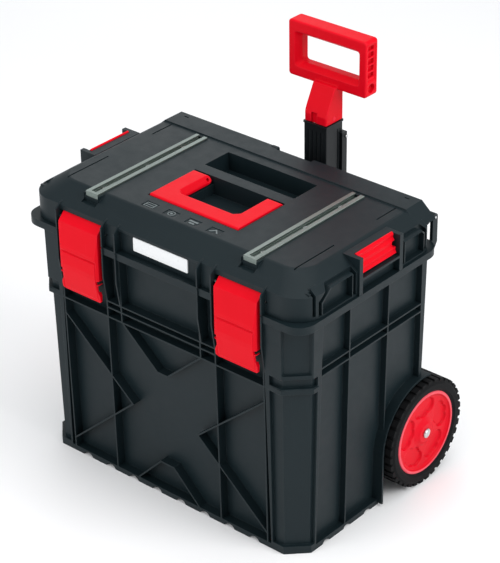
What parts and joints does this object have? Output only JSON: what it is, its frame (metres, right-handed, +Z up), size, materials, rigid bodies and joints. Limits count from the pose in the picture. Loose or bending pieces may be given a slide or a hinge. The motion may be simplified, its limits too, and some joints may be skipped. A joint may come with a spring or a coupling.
{
  "type": "rolling tool box",
  "caption": "Tall wheeled tool box with ribbed tub, latched hinged lid, accessory rails, folding lid handle and a telescopic pull handle.",
  "frame": {"origin": "on the floor under the centre of the whole piece's bounding box", "axes": "+Z up, -Y towards the latches (front), +Y towards the pull handle (back), X across the width"},
  "size_m": [0.547, 0.4222, 0.631],
  "materials": {
    "body_black": "fine-grained moulded polypropylene",
    "black_trim": "satin moulded plastic",
    "red": "satin moulded plastic",
    "rail": "brushed extrusion",
    "steel": "zinc plated",
    "tyre": "moulded rubber",
    "seal": "matt",
    "label": "smooth",
    "icon": "matt print"
  },
  "bodies": {
    "body": {"tub": "body_black", "lid_seal": "seal", "hinge_pins": "steel", "axle": "steel", "axle_spacers": "black_trim", "axle_caps": "steel", "mast_housing": "black_trim", "collar_pin": "steel", "bracket_upper": "black_trim", "bracket_lower": "black_trim", "bracket_screws": "steel"},
    "lid": {"lid_shell": "body_black", "rail_left": "rail", "rail_right": "rail", "rail_screws": "steel", "lid_handle_pins": "steel", "latch_pins": "steel", "clip_pins": "steel", "label_plate": "label", "icon_inlays": "icon"},
    "lid_handle": {"lid_handle": "red"},
    "latch_left": {"latch_left": "red"},
    "latch_right": {"latch_right": "red"},
    "clip_left": {"clip_left": "red"},
    "clip_right": {"clip_right": "red"},
    "wheel_left": {"wheel_rim_left": "red", "tyre_left": "tyre"},
    "wheel_right": {"wheel_rim_right": "red", "tyre_right": "tyre"},
    "mast": {"mast_outer": "black_trim", "spine_pin": "steel"},
    "head": {"mast_inner": "steel", "mast_plug": "black_trim", "handle_head": "red", "head_pin": "red"}
  },
  "joints": [
    {"name": "lid_hinge", "type": "hinge", "parent": "body", "child": "lid", "pos_m": [0, 0.1181, 0.43], "axis": [-1, 0, 0], "range_deg": [0, 90]},
    {"name": "lid_handle_pivot", "type": "hinge", "parent": "lid", "child": "lid_handle", "pos_m": [0, -0.0294, 0.4495], "axis": [-1, 0, 0], "range_deg": [0, 90]},
    {"name": "latch_left_pivot", "type": "hinge", "parent": "lid", "child": "latch_left", "pos_m": [-0.15, -0.1959, 0.413], "axis": [-1, 0, 0], "range_deg": [0, 105]},
    {"name": "latch_right_pivot", "type": "hinge", "parent": "lid", "child": "latch_right", "pos_m": [0.15, -0.1959, 0.413], "axis": [-1, 0, 0], "range_deg": [0, 105]},
    {"name": "clip_left_pivot", "type": "hinge", "parent": "lid", "child": "clip_left", "pos_m": [-0.256, -0.0299, 0.424], "axis": [0, -1, 0], "range_deg": [0, 16], "stiffness_Nm_per_rad": 0.6},
    {"name": "clip_right_pivot", "type": "hinge", "parent": "lid", "child": "clip_right", "pos_m": [0.256, -0.0299, 0.424], "axis": [0, 1, 0], "range_deg": [0, 16], "stiffness_Nm_per_rad": 0.6},
    {"name": "wheel_left_spin", "type": "hinge", "parent": "body", "child": "wheel_left", "pos_m": [-0.243, 0.0831, 0.087], "axis": [1, 0, 0], "continuous": true},
    {"name": "wheel_right_spin", "type": "hinge", "parent": "body", "child": "wheel_right", "pos_m": [0.243, 0.0831, 0.087], "axis": [1, 0, 0], "continuous": true},
    {"name": "mast_slide", "type": "slide", "parent": "body", "child": "mast", "axis": [0, 0, 1], "range_m": [-0.1, 0.2]},
    {"name": "head_slide", "type": "slide", "parent": "mast", "child": "head", "axis": [0, 0, 1], "range_m": [0, 0.2]}
  ]
}
